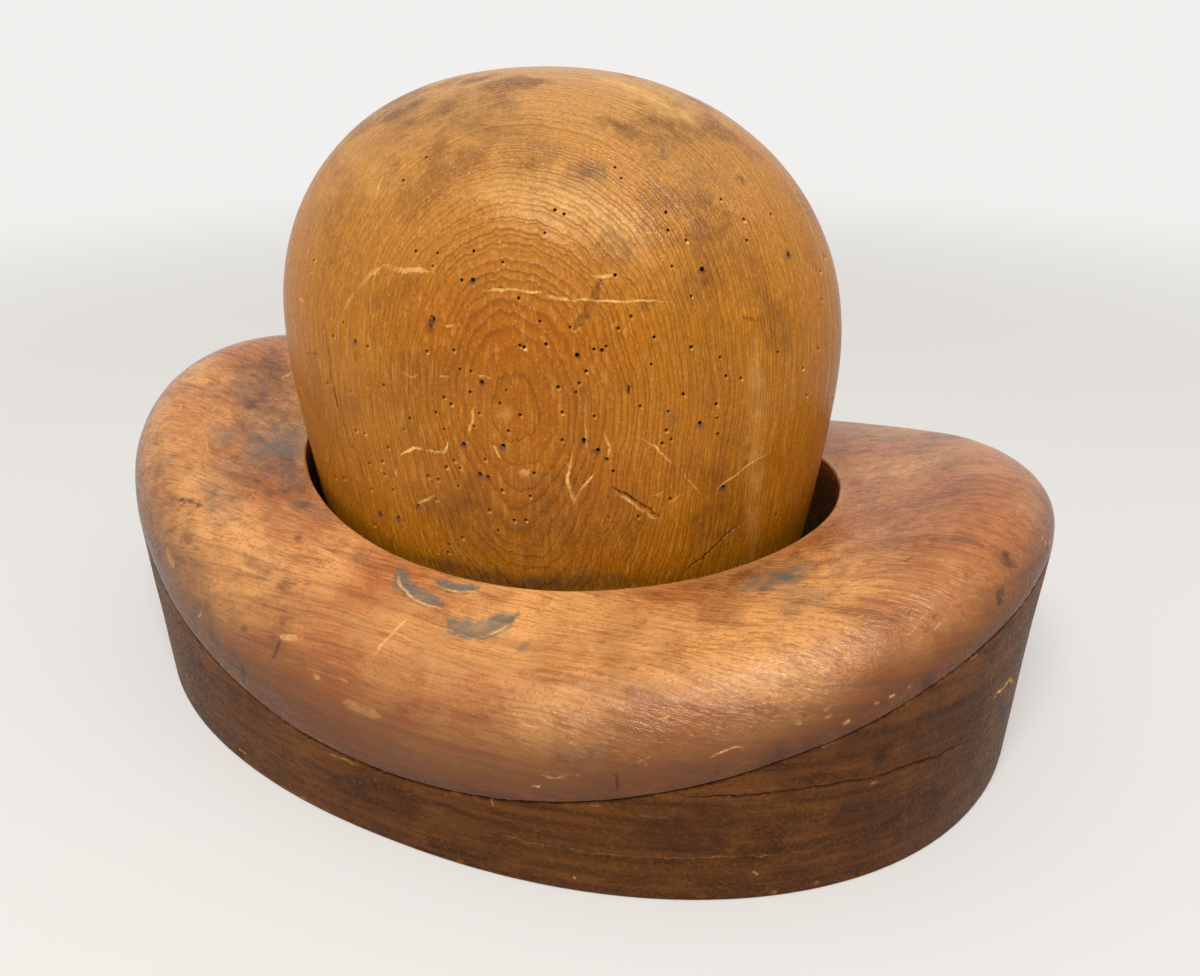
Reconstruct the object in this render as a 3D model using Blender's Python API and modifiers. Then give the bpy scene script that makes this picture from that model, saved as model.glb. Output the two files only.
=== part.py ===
"""Two-part wooden hat block.

An oval, domed crown block stands in the opening of a saddle-shaped brim block.
Both stand on their flat undersides, and the crown block lifts straight out.
Lengths are in metres, +Z is up and +X runs along the brim block's long axis.
The origin lies on the base plane, in the middle of the brim block's reach.
"""

import math

import bmesh
import bpy

# Crown block: the oval at its brow, where it is widest, and its heights
CROWN_LENGTH = 0.2096
CROWN_WIDTH = 0.1626
CROWN_HEIGHT = 0.2198
BROW_HEIGHT = 0.1269
DOME_FULLNESS = 2.23
FOOT_DRAW_IN = 0.0181
FOOT_CHAMFER = 0.0020

# Crown block: the drilled hole in its foot, for a spindle or a stand
SPINDLE_BORE = 0.0254
SPINDLE_DEPTH = 0.0600
DRILL_POINT_ANGLE = math.radians(118)

# Crown block: how it stands in the opening
GAP_AT_LEFT = 0.0006
SHIFT_TO_FRONT = 0.0005
CROWN_TURN = math.radians(-2.5)

# Opening of the brim block: the crown block's oval with some play
PLAY_LENGTH = 0.0015
PLAY_WIDTH = 0.0019
OPENING_SQUARENESS = 2.03
OPENING_EDGE_RADIUS = 0.0016

# Brim block: how far its base reaches out from the opening
REACH_END = 0.0690
REACH_SIDE = 0.0487
BRIM_SQUARENESS = 2.16
FULLER_END = 0.0028
BASE_CHAMFER = 0.0010

# Brim block: how far the wall leans outward from upright
LEAN_RIGHT = math.radians(0.95)
LEAN_LEFT = math.radians(3.16)
LEAN_SIDE = math.radians(-3.76)

# Brim block: height of the scored line, where the wall ends and the roll begins
LINE_HEIGHT_RIGHT = 0.0837
LINE_HEIGHT_LEFT = 0.0887
LINE_HEIGHT_SIDE = 0.0268
LINE_WIDTH = 0.0012
LINE_DEPTH = 0.0008

# Brim block: the rolled edge above the line
ROLL_RISE_END = 0.0151
ROLL_RISE_SIDE = 0.0373
ROLL_WIDTH = 0.0221

# Brim block: height of the opening's rim
RIM_HEIGHT_RIGHT = 0.0808
RIM_HEIGHT_LEFT = 0.0856
RIM_HEIGHT_SIDE = 0.0724
TOP_SAG = 1.25

# How finely the round shapes are cut into faces
SECTIONS = 96
ROLL_STEPS = 7
TOP_STEPS = 4
EDGE_STEPS = 3
WAIST_STEPS = 10
DOME_STEPS = 14
DRILL_SIDES = 32

OPENING_HALF_LENGTH = (CROWN_LENGTH + PLAY_LENGTH) / 2
OPENING_HALF_WIDTH = (CROWN_WIDTH + PLAY_WIDTH) / 2
BRIM_HALF_LENGTH = OPENING_HALF_LENGTH + REACH_END
BRIM_HALF_WIDTH = OPENING_HALF_WIDTH + REACH_SIDE


def new_collection(name):
    collection = bpy.data.collections.new(name)
    bpy.context.scene.collection.children.link(collection)
    return collection


def new_object(name, mesh, collection):
    obj = bpy.data.objects.new(name, mesh)
    collection.objects.link(obj)
    return obj


def wood(name, colour, roughness):
    material = bpy.data.materials.new(name)
    material.use_nodes = True
    shader = material.node_tree.nodes["Principled BSDF"]
    shader.inputs["Base Color"].default_value = (*colour, 1.0)
    shader.inputs["Roughness"].default_value = roughness
    shader.inputs["Metallic"].default_value = 0.0
    return material


def round_value(angle, right, left, side):
    """A size that changes smoothly round the block: right at +X, left at -X, side at +Y and -Y."""
    ends = (right + left) / 2
    return (ends + side) / 2 + (ends - side) / 2 * math.cos(2 * angle) + (right - left) / 2 * math.cos(angle)


def oval_point(angle, half_length, half_width, squareness):
    """A point of an oval that is a plain ellipse at squareness 2 and fuller above it."""
    c = math.cos(angle)
    s = math.sin(angle)
    reach = (abs(c) ** squareness + abs(s) ** squareness) ** (-1 / squareness)
    return half_length * reach * c, half_width * reach * s


def base_point(angle):
    """A point of the brim block's outline on the table, a little wider in its right half."""
    x, y = oval_point(angle, BRIM_HALF_LENGTH, BRIM_HALF_WIDTH, BRIM_SQUARENESS)
    return x, y * (1 + FULLER_END / BRIM_HALF_WIDTH * x / BRIM_HALF_LENGTH)


def outward(angle):
    """The outline's outward direction, square to the wall in plan."""
    step = math.pi / SECTIONS / 8
    x0, y0 = base_point(angle - step)
    x1, y1 = base_point(angle + step)
    length = math.hypot(x1 - x0, y1 - y0)
    return (y1 - y0) / length, -(x1 - x0) / length


def brim_section(angle):
    """One upright section through the brim block, as (x, y, z) points.

    It runs up the wall from the base, across the scored line, over the roll, in along
    the top to the opening's rim, and down the opening's wall to the base again.
    """
    x, y = base_point(angle)
    nx, ny = outward(angle)
    line = round_value(angle, LINE_HEIGHT_RIGHT, LINE_HEIGHT_LEFT, LINE_HEIGHT_SIDE)
    slope = math.tan(round_value(angle, LEAN_RIGHT, LEAN_LEFT, LEAN_SIDE))
    rise = round_value(angle, ROLL_RISE_END, ROLL_RISE_END, ROLL_RISE_SIDE)
    rim = round_value(angle, RIM_HEIGHT_RIGHT, RIM_HEIGHT_LEFT, RIM_HEIGHT_SIDE)
    half_line = LINE_WIDTH / 2

    outer = [(-BASE_CHAMFER, 0.0), (0.0, BASE_CHAMFER)]
    for height in (line / 2, line - half_line):
        outer.append((slope * height, height))
    outer.append((slope * line - LINE_DEPTH, line))
    for step in range(ROLL_STEPS + 1):
        turn = step / ROLL_STEPS * math.pi / 2
        in_by = ROLL_WIDTH * (1 - math.cos(turn))
        up_by = half_line + (rise - half_line) * math.sin(turn)
        outer.append((slope * line - in_by, line + up_by))
    points = [(x + nx * out, y + ny * out, z) for out, z in outer]

    crest_x, crest_y, crest_z = points[-1]
    rim_x, rim_y = oval_point(angle, OPENING_HALF_LENGTH, OPENING_HALF_WIDTH, OPENING_SQUARENESS)
    across = math.hypot(crest_x - rim_x, crest_y - rim_y)
    out_x = (crest_x - rim_x) / across
    out_y = (crest_y - rim_y) / across
    edge_start = 1 - OPENING_EDGE_RADIUS / across
    for step in range(1, TOP_STEPS + 1):
        share = edge_start * step / TOP_STEPS
        z = crest_z + (rim - crest_z) * share ** TOP_SAG
        points.append((crest_x + (rim_x - crest_x) * share, crest_y + (rim_y - crest_y) * share, z))
    edge_z = points[-1][2]
    for step in range(1, EDGE_STEPS + 1):
        turn = step / EDGE_STEPS * math.pi / 2
        out_by = OPENING_EDGE_RADIUS * (1 - math.sin(turn))
        down_by = OPENING_EDGE_RADIUS * (1 - math.cos(turn))
        points.append((rim_x + out_x * out_by, rim_y + out_y * out_by, edge_z - down_by))
    points.append((rim_x, rim_y, 0.0))
    return points


def brim_middle(sections):
    """The middle of the brim block's reach along X and Y."""
    xs = [x for section in sections for x, _, _ in section]
    ys = [y for section in sections for _, y, _ in section]
    return (min(xs) + max(xs)) / 2, (min(ys) + max(ys)) / 2


def make_brim_block(sections, middle, collection):
    """The saddle-shaped ring, lofted through its sections."""
    mid_x, mid_y = middle
    bm = bmesh.new()
    rows = [[bm.verts.new((x - mid_x, y - mid_y, z)) for x, y, z in section] for section in sections]
    count = len(rows[0])
    for here, row in enumerate(rows):
        after = rows[(here + 1) % len(rows)]
        for low in range(count):
            high = (low + 1) % count
            bm.faces.new((row[low], after[low], after[high], row[high]))
    mesh = bpy.data.meshes.new("brim_block")
    bm.to_mesh(mesh)
    bm.free()
    mesh.shade_smooth()
    mesh.set_sharp_from_angle(angle=math.radians(40))
    mesh.materials.append(wood("brown_brim_wood", (0.30, 0.13, 0.05), 0.42))
    return new_object("brim_block", mesh, collection)


def crown_share(z):
    """How long the crown block is at a height below its brow, as a share of its length there."""
    drop = max(0.0, (BROW_HEIGHT - z) / BROW_HEIGHT)
    return 1 - FOOT_DRAW_IN / (CROWN_LENGTH / 2) * drop ** 1.5


def crown_profile():
    """The crown block's side as (radius, height), from the top of the dome to the foot's middle."""
    brow = CROWN_LENGTH / 2
    points = []
    for step in range(DOME_STEPS):
        turn = (1 - step / DOME_STEPS) * math.pi / 2
        radius = 0.0 if step == 0 else brow * math.cos(turn) ** (2 / DOME_FULLNESS)
        height = BROW_HEIGHT + (CROWN_HEIGHT - BROW_HEIGHT) * math.sin(turn) ** (2 / DOME_FULLNESS)
        points.append((radius, height))
    for step in range(WAIST_STEPS + 1):
        height = BROW_HEIGHT + (FOOT_CHAMFER - BROW_HEIGHT) * step / WAIST_STEPS
        points.append((brow * crown_share(height), height))
    points.append((points[-1][0] - FOOT_CHAMFER, 0.0))
    points.append((0.0, 0.0))
    return points


def turned(name, profile, sides, collection):
    """A solid turned about its own Z axis from a profile that runs down its outer side."""
    bm = bmesh.new()
    verts = [bm.verts.new((radius, 0.0, height)) for radius, height in profile]
    for upper, lower in zip(verts, verts[1:]):
        bm.edges.new((upper, lower))
    mesh = bpy.data.meshes.new(name)
    bm.to_mesh(mesh)
    bm.free()
    obj = new_object(name, mesh, collection)
    screw = obj.modifiers.new("turn", "SCREW")
    screw.axis = "Z"
    screw.angle = 2 * math.pi
    screw.steps = sides
    screw.render_steps = sides
    screw.use_merge_vertices = True
    screw.merge_threshold = 0.00001
    screw.use_smooth_shade = True
    return obj


def make_crown_block(middle, collection, cutters):
    """The domed oval block: turned round, drawn in to an oval, and drilled from below."""
    crown = turned("crown_block", crown_profile(), SECTIONS, collection)
    crown.scale = (1.0, CROWN_WIDTH / CROWN_LENGTH, 1.0)
    crown.rotation_euler = (0.0, 0.0, CROWN_TURN)
    half_at_rim = CROWN_LENGTH / 2 * crown_share(RIM_HEIGHT_LEFT)
    x = half_at_rim + GAP_AT_LEFT - OPENING_HALF_LENGTH - middle[0]
    y = -SHIFT_TO_FRONT - middle[1]
    crown.location = (x, y, 0.0)
    crown.data.materials.append(wood("amber_crown_wood", (0.52, 0.25, 0.06), 0.38))

    radius = SPINDLE_BORE / 2
    tip = radius / math.tan(DRILL_POINT_ANGLE / 2)
    below = -SPINDLE_BORE / 4
    drill_profile = [(0.0, SPINDLE_DEPTH + tip), (radius, SPINDLE_DEPTH), (radius, below), (0.0, below)]
    drill = turned("spindle_drill", drill_profile, DRILL_SIDES, cutters)
    drill.location = (x, y, 0.0)
    drill.hide_render = True
    drill.display_type = "WIRE"

    bore = crown.modifiers.new("spindle_hole", "BOOLEAN")
    bore.operation = "DIFFERENCE"
    bore.object = drill
    bore.solver = "EXACT"
    return crown


for old in list(bpy.data.objects):
    bpy.data.objects.remove(old, do_unlink=True)

parts = new_collection("hat_block")
cutters = new_collection("cutters")
brim_sections = [brim_section(2 * math.pi * step / SECTIONS) for step in range(SECTIONS)]
block_middle = brim_middle(brim_sections)
make_brim_block(brim_sections, block_middle, parts)
make_crown_block(block_middle, parts, cutters)
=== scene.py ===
"""Looks of a two-part wooden hat block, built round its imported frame.

A domed crown block of pale softwood stands in the oval opening of a brown brim block. Each is one
solid piece of wood, so each is one mesh here, with its knife lines, scratches and worm holes cut
into it. Lengths are in metres unless a name says otherwise, and +Z is up.
"""

import math
import random
from collections import namedtuple

import bpy
import numpy as np
from mathutils import Euler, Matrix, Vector, noise
from mathutils.bvhtree import BVHTree


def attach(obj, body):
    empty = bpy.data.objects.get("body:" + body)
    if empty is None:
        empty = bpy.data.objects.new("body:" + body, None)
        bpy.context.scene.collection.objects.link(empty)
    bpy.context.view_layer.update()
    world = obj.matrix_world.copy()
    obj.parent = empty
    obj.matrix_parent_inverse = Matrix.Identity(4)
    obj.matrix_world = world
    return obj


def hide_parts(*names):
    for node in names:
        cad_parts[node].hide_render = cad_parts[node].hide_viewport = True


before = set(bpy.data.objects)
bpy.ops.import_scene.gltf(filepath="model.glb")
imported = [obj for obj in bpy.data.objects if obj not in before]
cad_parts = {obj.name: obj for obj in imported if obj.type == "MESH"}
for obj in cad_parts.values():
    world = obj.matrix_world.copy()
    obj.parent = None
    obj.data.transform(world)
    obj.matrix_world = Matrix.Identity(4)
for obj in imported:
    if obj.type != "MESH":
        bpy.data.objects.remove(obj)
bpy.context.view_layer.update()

# The camera stands a little above the crown block and to the right of the middle, and looks down at
# both blocks. Its place, turn and lens were fitted to their outlines in the photograph.
PHOTO_WIDTH = 1200
PHOTO_HEIGHT = 976
CAMERA_PLACE = Vector((0.15846, -0.31472, 0.24000))
CAMERA_TURN = Euler([math.radians(angle) for angle in (63.6254, 0.1815, 24.1363)])
LENS_MM = 29.605
SENSOR_MM = 36.0

lens = bpy.data.cameras.new("camera")
lens.lens = LENS_MM
lens.sensor_width = SENSOR_MM
lens.clip_start = 0.01
lens.clip_end = 50.0


def put_in_scene(name, data):
    """A new object in the scene, from its mesh, lens or light."""
    thing = bpy.data.objects.new(name, data)
    bpy.context.scene.collection.objects.link(thing)
    return thing


camera = put_in_scene("camera", lens)
camera.location = CAMERA_PLACE
camera.rotation_euler = CAMERA_TURN
bpy.context.scene.camera = camera


def sight_line(pixel):
    """The direction from the camera in which the photograph shows a pixel."""
    per_pixel = SENSOR_MM / LENS_MM / PHOTO_WIDTH
    across = (pixel[0] - PHOTO_WIDTH / 2) * per_pixel
    down = (pixel[1] - PHOTO_HEIGHT / 2) * per_pixel
    return (CAMERA_TURN.to_matrix() @ Vector((across, -down, -1.0))).normalized()


# The brim block is a saddle-shaped ring carved from one plank of close-grained hardwood. Its ends
# stand high and its long sides low, its upper edge is rolled, and a line that a knife has scored
# all round its wall shows where the felt brim is cut off. It stands on its flat base.
OPENING_LENGTH = 0.2111
OPENING_WIDTH = 0.1645
OPENING_SQUARENESS = 2.03
RIM_RADIUS = 0.0016
BRIM_REACH_END = 0.0690
BRIM_REACH_SIDE = 0.0487
BRIM_SQUARENESS = 2.16
FULLER_END = 0.0028
BLOCK_SHIFT = 0.001754
FOOT_RADIUS = 0.0010
ROLL_WIDTH = 0.0221
TOP_SAG = 1.25
SMALL_ANGLE = 0.004

# Sizes that change round the block, as (right end, left end, long sides)
WALL_LEAN = (math.radians(0.95), math.radians(3.16), math.radians(-3.76))
LINE_HEIGHT = (0.0837, 0.0887, 0.0268)
ROLL_RISE = (0.0151, 0.0151, 0.0373)
RIM_HEIGHT = (0.0808, 0.0856, 0.0724)

# Rows of cells from the base's inner edge, out, up the wall, over the roll and down the opening
BRIM_COLUMNS = 168
BASE_ROWS = 10
FOOT_ROWS = 3
WALL_ROWS = 6
LINE_CELL = 0.0045
ROLL_ROWS = 9
TOP_ROWS = 11
RIM_ROWS = 4
INNER_ROWS = 18
WALL_START = BASE_ROWS + FOOT_ROWS
LINE_ROW = WALL_START + WALL_ROWS
TOP_START = LINE_ROW + ROLL_ROWS
RIM_START = TOP_START + TOP_ROWS
INNER_START = RIM_START + RIM_ROWS
BRIM_ROWS = INNER_START + INNER_ROWS


def round_value(angle, sizes):
    """A size that changes smoothly round the block from its right end to its sides and left end."""
    right, left, side = sizes
    ends = (right + left) / 2
    uneven = (right - left) / 2 * np.cos(angle)
    return (ends + side) / 2 + (ends - side) / 2 * np.cos(2 * angle) + uneven


def oval(angle, half_length, half_width, squareness):
    """Points of an oval, a plain ellipse at squareness 2 and fuller above it."""
    c = np.cos(angle)
    s = np.sin(angle)
    reach = (np.abs(c) ** squareness + np.abs(s) ** squareness) ** (-1 / squareness)
    return half_length * reach * c, half_width * reach * s


def brim_outline(angle):
    """The brim block's outline on the table."""
    half_length = OPENING_LENGTH / 2 + BRIM_REACH_END
    half_width = OPENING_WIDTH / 2 + BRIM_REACH_SIDE
    x, y = oval(angle, half_length, half_width, BRIM_SQUARENESS)
    return x, y * (1 + FULLER_END / half_width * x / half_length)


def brim_surface(turn, row):
    """Points of the brim block, by the share of a turn round it and the row along its section."""
    angle = 2 * math.pi * turn
    x, y = brim_outline(angle)
    x0, y0 = brim_outline(angle - SMALL_ANGLE)
    x1, y1 = brim_outline(angle + SMALL_ANGLE)
    length = np.hypot(x1 - x0, y1 - y0)
    nx, ny = (y1 - y0) / length, -(x1 - x0) / length
    slope = np.tan(round_value(angle, WALL_LEAN))
    line = round_value(angle, LINE_HEIGHT)
    rise = round_value(angle, ROLL_RISE)
    rim = round_value(angle, RIM_HEIGHT)
    rim_x, rim_y = oval(angle, OPENING_LENGTH / 2, OPENING_WIDTH / 2, OPENING_SQUARENESS)

    foot = np.clip((row - BASE_ROWS) / FOOT_ROWS, 0, 1) * math.pi / 2
    below_line = 1 - np.clip((row - WALL_START) / WALL_ROWS, 0, 1)
    even = np.minimum(1, LINE_CELL * WALL_ROWS / line)
    wall = 1 - even * below_line - (1 - even) * below_line ** 2
    roll = np.clip((row - LINE_ROW) / ROLL_ROWS, 0, 1) * math.pi / 2
    up = FOOT_RADIUS * (1 - np.cos(foot)) + (line - FOOT_RADIUS) * wall + rise * np.sin(roll)
    out = FOOT_RADIUS * (np.sin(foot) - 1) + slope * line * wall - ROLL_WIDTH * (1 - np.cos(roll))
    x_out, y_out = x + nx * out, y + ny * out

    base = np.clip(row / BASE_ROWS, 0, 1)
    x_out = rim_x + (x_out - rim_x) * base
    y_out = rim_y + (y_out - rim_y) * base

    top = np.clip((row - TOP_START) / TOP_ROWS, 0, 1)
    across = np.hypot(x_out - rim_x, y_out - rim_y)
    across = np.where(row < TOP_START, 1.0, across)
    top_end = 1 - RIM_RADIUS / across
    share = top * top_end
    edge = np.clip((row - RIM_START) / RIM_ROWS, 0, 1) * math.pi / 2
    share = share + (1 - top_end) * np.sin(edge)
    edge_height = up + (rim - up) * top_end ** TOP_SAG
    up_top = up + (rim - up) * np.clip(top * top_end, 0, 1) ** TOP_SAG
    up_top = np.where(row > RIM_START, edge_height - RIM_RADIUS * (1 - np.cos(edge)), up_top)
    inner = np.clip((row - INNER_START) / INNER_ROWS, 0, 1)
    z = np.where(row < TOP_START, up, up_top * (1 - inner))
    x_top = x_out + (rim_x - x_out) * share
    y_top = y_out + (rim_y - y_out) * share
    over = row >= TOP_START
    return np.stack([np.where(over, x_top, x_out) + BLOCK_SHIFT, np.where(over, y_top, y_out), z], -1)


# One mark on the wood: its path, half its width, its depth, and how strongly it shows each tone
Mark = namedtuple("Mark", "path half_width depth tones")
TONES = ("bare", "dirt", "grey", "hole")
SMALLEST_CELL = 0.00043
CELLS_PER_MARK = 1.6
MOST_SPLITS = 5
LONG_ENOUGH_TO_CUT = 0.7
STEPS_IN_A_PART = 12

# How a mark ends, as (raggedness of its edge, steepness, reach in half widths). A cut has a crisp
# edge, and a stain, which has no depth, a soft one.
CRISP_EDGE = (0.3, 2.5, 1.3)
SOFT_EDGE = (0.6, 1.0, 1.4)
WIDEST_REACH = 1.4
REACH_MARGIN = 0.0002
RAGGED_PERIOD = 0.0012
RAGGED_PER_HALF_WIDTH = 0.8
PATCHINESS = 0.5
TAPER = 6
NARROWEST_END = 0.25
HOLE_EDGE_CATCH = 0.00014
SHARP_CORNER = math.radians(38)


def cell_grid(surface, columns, rows, marks, closed):
    """A grid of cells over a surface, cut finer round its marks, as turns, rows and faces.

    closed says that the last row meets the first, as on a ring. Otherwise both end in a point.
    Cells are cut in half along their longer side, or both sides, so that they stay nearly square.
    """
    smallest = 2
    step = smallest * 2 ** MOST_SPLITS
    around = columns * step
    along = rows * step

    def places(i, j):
        return surface(i / around, j / step)

    a, b = np.meshgrid(np.arange(columns) * step, np.arange(rows) * step, indexing="ij")
    sides = np.full(a.size, step)
    cells = np.stack([a.ravel(), b.ravel(), sides, sides], -1)
    finished = []
    while len(cells):
        i, j, wide, tall = cells.T
        centres = places(i + wide / 2, j + tall / 2)
        width = np.linalg.norm(places(i + wide, j + tall / 2) - places(i, j + tall / 2), axis=1)
        height = np.linalg.norm(places(i + wide / 2, j + tall) - places(i + wide / 2, j), axis=1)
        longer = np.maximum(width, height)
        slack = 0.5 * np.hypot(width, height)
        split = np.zeros(len(cells), bool)
        for mark in marks:
            wanted = max(mark.half_width / CELLS_PER_MARK, SMALLEST_CELL)
            for near, distance, _ in along_path(centres, mark.path, mark.half_width + slack.max()):
                split[near] |= (longer[near] > wanted) & (distance < mark.half_width + slack[near])
        across = split & (wide > smallest) & (width > LONG_ENOUGH_TO_CUT * height)
        down = split & (tall > smallest) & (height > LONG_ENOUGH_TO_CUT * width)
        finished += cells[~(across | down)].tolist()
        wide = np.where(across, wide // 2, wide)
        tall = np.where(down, tall // 2, tall)
        quarters = [
            (across | down, 0, 0),
            (across, wide, 0),
            (down, 0, tall),
            (across & down, wide, tall),
        ]
        cells = np.concatenate([np.stack([i + x, j + y, wide, tall], -1)[part] for part, x, y in quarters])

    def key(i, j):
        if closed:
            return i % around, j % along
        return (0, j) if j in (0, along) else (i % around, j)

    numbers = {}
    for i, j, wide, tall in finished:
        for corner in ((i, j), (i + wide, j), (i + wide, j + tall), (i, j + tall)):
            numbers.setdefault(key(*corner), len(numbers))

    def between(p, q):
        if abs(p[0] - q[0]) + abs(p[1] - q[1]) < 2:
            return []
        middle = ((p[0] + q[0]) // 2, (p[1] + q[1]) // 2)
        if key(*middle) not in numbers:
            return []
        return [*between(p, middle), middle, *between(middle, q)]

    faces = []
    for i, j, wide, tall in finished:
        corners = [(i, j), (i + wide, j), (i + wide, j + tall), (i, j + tall)]
        if not closed and j == 0:
            corners.pop(1)
        if not closed and j + tall == along:
            corners.pop(2)
        loop = []
        for corner, after in zip(corners, corners[1:] + corners[:1]):
            loop.append(numbers[key(*corner)])
            if corner[0] == after[0] or corner[1] == after[1]:
                loop += [numbers[key(*middle)] for middle in between(corner, after)]
        if len(loop) <= 4:
            faces.append(loop)
            continue
        middle = numbers.setdefault(key(i + wide // 2, j + tall // 2), len(numbers))
        faces += [[loop[n - 1], loop[n], middle] for n in range(len(loop))]
    keys = np.array(list(numbers))
    return keys[:, 0] / around, keys[:, 1] / step, faces


def along_path(points, path, reach):
    """For each part of a path: which points lie near it, how far off, and their share along it."""
    path = np.asarray(path)
    if len(path) == 1:
        near = np.flatnonzero(np.linalg.norm(points - path[0], axis=1) < reach)
        yield near, np.linalg.norm(points[near] - path[0], axis=1), np.full(len(near), 0.5)
        return
    steps = np.linalg.norm(np.diff(path, axis=0), axis=1)
    run = np.concatenate([[0], np.cumsum(steps)])
    for first in range(0, len(path) - 1, STEPS_IN_A_PART):
        part = path[first:first + STEPS_IN_A_PART + 1]
        middle = (part.min(0) + part.max(0)) / 2
        size = np.linalg.norm(part - middle, axis=1).max()
        near = np.flatnonzero(np.linalg.norm(points - middle, axis=1) < size + reach)
        if not len(near):
            continue
        best = np.full(len(near), np.inf)
        share = np.zeros(len(near))
        for n in range(len(part) - 1):
            d = part[n + 1] - part[n]
            t = np.clip((points[near] - part[n]) @ d / max(d @ d, 1e-12), 0, 1)
            off = np.linalg.norm(points[near] - part[n] - t[:, None] * d, axis=1)
            closer = off < best
            best = np.where(closer, off, best)
            share = np.where(closer, (run[first + n] + t * steps[first + n]) / run[-1], share)
        yield near, best, share


def bumps(places, period, height):
    """A smooth rise and fall of a surface, with its usual distance between bumps and their height."""
    return height * np.array([noise.noise(Vector(place) / period) for place in places])


def wooden_mesh(name, surface, columns, rows, marks, closed, unevenness, zones):
    """The mesh of one block: its surface, a little uneven, with each mark cut and toned into it.

    zones gives more tones that change only from row to row, each as rows and amounts.
    """
    turns, at_rows, faces = cell_grid(surface, columns, rows, marks, closed)
    places = surface(turns, at_rows)
    mesh = bpy.data.meshes.new(name)
    mesh.from_pydata(places.tolist(), [], faces)
    mesh.update()
    normals = np.empty(len(places) * 3)
    mesh.vertex_normals.foreach_get("vector", normals)
    normals = normals.reshape(-1, 3)

    sunk = -unevenness(places)
    slid = np.zeros_like(places)
    tones = {tone: np.zeros(len(places)) for tone in TONES}
    for mark in marks:
        taper = len(mark.path) > 1 and np.linalg.norm(mark.path[0] - mark.path[-1]) > 1e-6
        reach = mark.half_width * WIDEST_REACH + REACH_MARGIN
        cut = np.zeros(len(places))
        for near, distance, share in along_path(places, mark.path, reach):
            if "hole" in mark.tones:
                bore(mark, places, near, distance, sunk, slid)
                off = distance / mark.half_width
                tones["hole"][near] = np.maximum(tones["hole"][near], np.clip(WIDEST_REACH - off, 0, 1))
                continue
            ends = np.clip(np.minimum(share, 1 - share) * TAPER, NARROWEST_END, 1) if taper else 1.0
            ragged = bumps(places[near], max(RAGGED_PERIOD, mark.half_width * RAGGED_PER_HALF_WIDTH), 1.0)
            raggedness, steepness, limit = CRISP_EDGE if mark.depth > 0 else SOFT_EDGE
            off = distance / (mark.half_width * ends * (1 + raggedness * ragged))
            cut[near] = np.maximum(cut[near], mark.depth * np.clip((1 - off) * steepness, 0, 1))
            for tone, strength in mark.tones.items():
                amount = strength * np.clip((limit - off) * steepness, 0, 1) * (1 + PATCHINESS * ragged)
                tones[tone][near] = np.maximum(tones[tone][near], amount)
        sunk += cut
    places = places + slid - normals * sunk[:, None]
    mesh.vertices.foreach_set("co", places.ravel())
    for zone, (zone_rows, amounts) in zones.items():
        tones[zone] = np.interp(at_rows, zone_rows, amounts)
    for tone, amount in tones.items():
        layer = mesh.attributes.new(tone, "FLOAT", "POINT")
        layer.data.foreach_set("value", amount.astype(np.float32))
    mesh.update()
    mesh.shade_smooth()
    mesh.set_sharp_from_angle(angle=SHARP_CORNER)
    return mesh


def bore(mark, places, near, distance, sunk, slid):
    """Sinks a round hole, with the points nearest its edge slid on to the edge."""
    edge = np.abs(distance - mark.half_width) < HOLE_EDGE_CATCH
    inside = (distance < mark.half_width) & ~edge
    sunk[near[inside]] = mark.depth
    at_edge = near[edge]
    off = places[at_edge] - mark.path[0]
    slid[at_edge] = off * (mark.half_width / np.maximum(distance[edge], 1e-9) - 1)[:, None]


def coarse_tree(surface, columns, rows):
    """A search tree over a surface, to find where the camera's sight lines meet it."""
    turns, at_rows = np.meshgrid(np.arange(columns + 1) / columns, np.arange(rows + 1), indexing="ij")
    places = surface(turns.ravel(), at_rows.ravel().astype(float))
    corner = np.arange(columns * (rows + 1)).reshape(columns, rows + 1)[:, :-1].ravel()
    quads = np.stack([corner, corner + rows + 1, corner + rows + 2, corner + 1], -1)
    return BVHTree.FromPolygons(places.tolist(), quads.tolist())


PIXELS_PER_STEP = 2.5
WANDER_PERIOD = 8.0
WANDER_PIXELS = 1.8
# Without a seed of its own, Blender's noise would draw another wander each time
WANDER_SEED = 5
noise.seed_set(WANDER_SEED)


def on_wood(tree, pixels):
    """The points of a block that the photograph shows at some pixels, joined by a wandering line."""
    spots = [pixels[0]]
    for start, end in zip(pixels, pixels[1:]):
        steps = max(1, round(math.dist(start, end) / PIXELS_PER_STEP))
        for n in range(1, steps + 1):
            x, y = [p + (q - p) * n / steps for p, q in zip(start, end)]
            stray = noise.noise_vector(Vector((x, y, 0)) / WANDER_PERIOD) * WANDER_PIXELS
            spots.append((x + stray.x, y + stray.y))
    hits = [tree.ray_cast(CAMERA_PLACE, sight_line(spot))[0] for spot in spots]
    path = np.array([hit for hit in hits if hit is not None])
    assert len(path), f"no wood at {pixels[0]}"
    return path


FLAT_BELOW = 0.004
BRIM_WAVES = ((0.050, 0.0005), (0.016, 0.00016))


def hand_unevenness(places, waves=BRIM_WAVES):
    """How far hand work and wear left a block proud of an even shape. Its base is flat.

    Each wave is (usual distance between its bumps, their height).
    """
    uneven = sum(bumps(places, period, height) for period, height in waves)
    return uneven * np.clip(places[:, 2] / FLAT_BELOW, 0, 1)


def marker(surface, columns, rows, marks):
    """A function that adds a mark to a block's marks where the photograph shows it."""
    tree = coarse_tree(surface, columns, rows)

    def mark(pixels, half_width_mm, depth_mm, **tones):
        marks.append(Mark(on_wood(tree, pixels), half_width_mm / 1000, depth_mm / 1000, tones))

    return mark


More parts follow.
